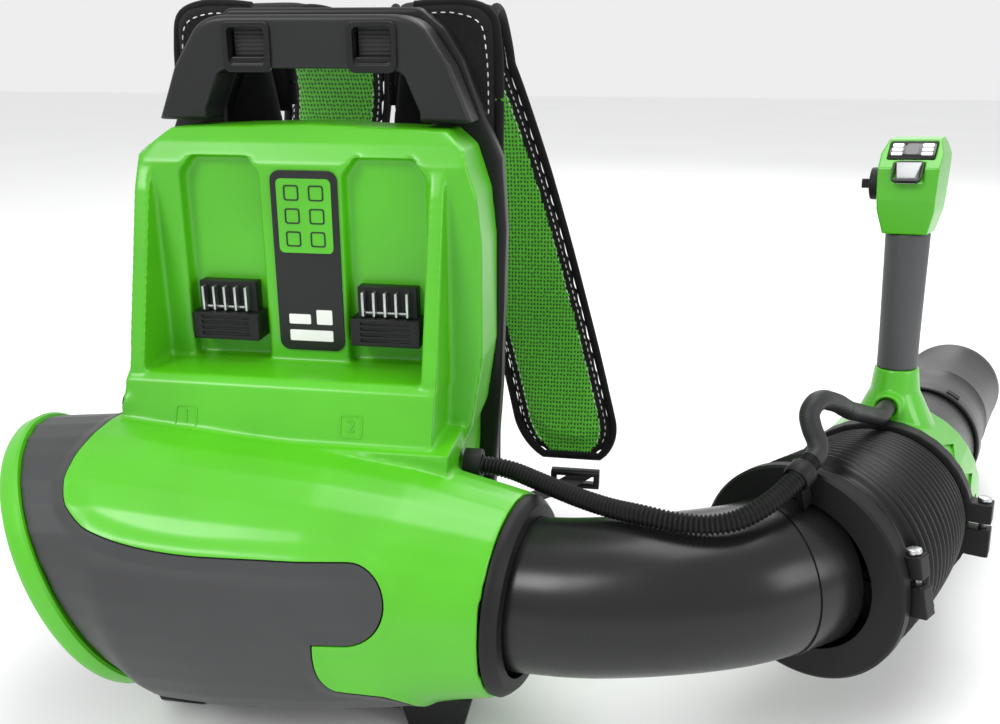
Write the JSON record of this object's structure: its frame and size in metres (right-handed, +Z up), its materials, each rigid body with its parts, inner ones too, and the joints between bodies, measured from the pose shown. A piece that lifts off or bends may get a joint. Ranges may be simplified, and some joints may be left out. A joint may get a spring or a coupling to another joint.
{
  "type": "backpack leaf blower",
  "caption": "Battery backpack leaf blower: axial fan pack with battery bays, elbow and bellows to a swinging blower tube with a control handle, and a padded harness.",
  "frame": {"origin": "middle of the footprint of the whole blower, on the ground under its feet", "axes": "+X towards the blower tube's side, +Y forward, the way the wearer faces, +Z up"},
  "size_m": [0.9402, 0.7598, 0.5637],
  "materials": {
    "green_shell": "satin moulded lime green plastic",
    "grey_plastic": "satin dark grey plastic",
    "black_plastic": "satin black plastic",
    "bellows_rubber": "matt flexible black",
    "grip_rubber": "soft dark grey grip",
    "steel": "zinc-plated steel",
    "copper": "enamelled copper windings on laminations",
    "aluminium": "extruded aluminium",
    "circuit_board": "green circuit board",
    "display": "glossy dark window",
    "silver_plastic": "silver button",
    "strap_mesh": "green spacer mesh with black binding",
    "harness_fabric": "black woven polyester"
  },
  "bodies": {
    "pack": {"rear_shell": "green_shell", "fan_cowl": "grey_plastic", "intake_ring": "green_shell", "intake_grille": "black_plastic", "fan_duct": "black_plastic", "motor_mount": "black_plastic", "motor_stator": "copper", "front_bearing": "steel", "rear_bearing": "steel", "terminal_block_left": "black_plastic", "contact_blades_left": "steel", "terminal_block_right": "black_plastic", "contact_blades_right": "steel", "controller_board": "circuit_board", "heat_sink": "aluminium", "label_plate": "grey_plastic", "carry_handle": "grey_plastic", "back_frame": "black_plastic", "housing_screw_1": "steel", "housing_screw_2": "steel", "base_bar": "black_plastic", "foot_left": "black_plastic", "foot_right": "black_plastic", "outlet_collar": "black_plastic", "elbow_tube": "black_plastic", "swivel_collar": "black_plastic", "rear_clamp": "black_plastic", "rear_clamp_screw": "steel", "rear_clamp_nut": "steel", "bellows_rear": "bellows_rubber", "cable_gland": "black_plastic", "conduit": "bellows_rubber", "cable_sleeve_rear": "bellows_rubber", "back_panel": "harness_fabric", "shoulder_strap_left": "strap_mesh", "strap_webbing_left": "harness_fabric", "strap_buckle_left": "black_plastic", "shoulder_strap_right": "strap_mesh", "strap_webbing_right": "harness_fabric", "strap_buckle_right": "black_plastic", "waist_belt": "harness_fabric"},
    "fan": {"fan_rotor": "black_plastic", "motor_shaft": "steel", "motor_magnet": "steel"},
    "bellows_mid": {"bellows_middle": "bellows_rubber"},
    "tube": {"blower_tube": "black_plastic", "handle_bracket": "green_shell", "handle_core": "green_shell", "grip_sleeve": "grip_rubber", "control_head": "green_shell", "display_window": "display", "front_clamp": "black_plastic", "front_clamp_screw": "steel", "front_clamp_nut": "steel", "bellows_front": "bellows_rubber", "cable_sleeve_front": "bellows_rubber"},
    "nozzle": {"nozzle": "black_plastic"},
    "trigger": {"trigger": "black_plastic"},
    "cruise_lever": {"cruise_lever": "black_plastic"},
    "power_button": {"power_button": "silver_plastic"}
  },
  "joints": [
    {"name": "fan_spin", "type": "hinge", "parent": "pack", "child": "fan", "pos_m": [-0.29007, -0.2705, 0.132], "axis": [1, 0, 0], "continuous": true},
    {"name": "tube_swing", "type": "hinge", "parent": "pack", "child": "bellows_mid", "pos_m": [0.20393, -0.16881, 0.1463], "axis": [0, 0, 1], "range_deg": [-20, 20], "deforming": ["bellows_rear", "cable_sleeve_rear"]},
    {"name": "tube_lift", "type": "hinge", "parent": "bellows_mid", "child": "tube", "pos_m": [0.20393, -0.16881, 0.1463], "axis": [0.8649, -0.5019, 0], "range_deg": [-18, 22], "deforming": ["bellows_front", "cable_sleeve_front"]},
    {"name": "nozzle_twist", "type": "hinge", "parent": "tube", "child": "nozzle", "pos_m": [0.31748, 0.10392, 0.12313], "axis": [0.3654, 0.9275, -0.0785], "range_deg": [0, 30]},
    {"name": "trigger_squeeze", "type": "hinge", "parent": "tube", "child": "trigger", "pos_m": [0.25765, -0.00942, 0.40362], "axis": [-0.9306, 0.3622, -0.0522], "range_deg": [0, 9], "stiffness_Nm_per_rad": 0.5, "springref_deg": -5.73},
    {"name": "cruise_turn", "type": "hinge", "parent": "tube", "child": "cruise_lever", "pos_m": [0.23084, -0.02185, 0.41227], "axis": [-0.9306, 0.3622, -0.0522], "range_deg": [0, 70]},
    {"name": "power_press", "type": "slide", "parent": "tube", "child": "power_button", "axis": [0.2637, 0.5648, -0.7819], "range_m": [0, 0.0015], "stiffness_N_per_m": 500, "springref_m": -0.001}
  ]
}
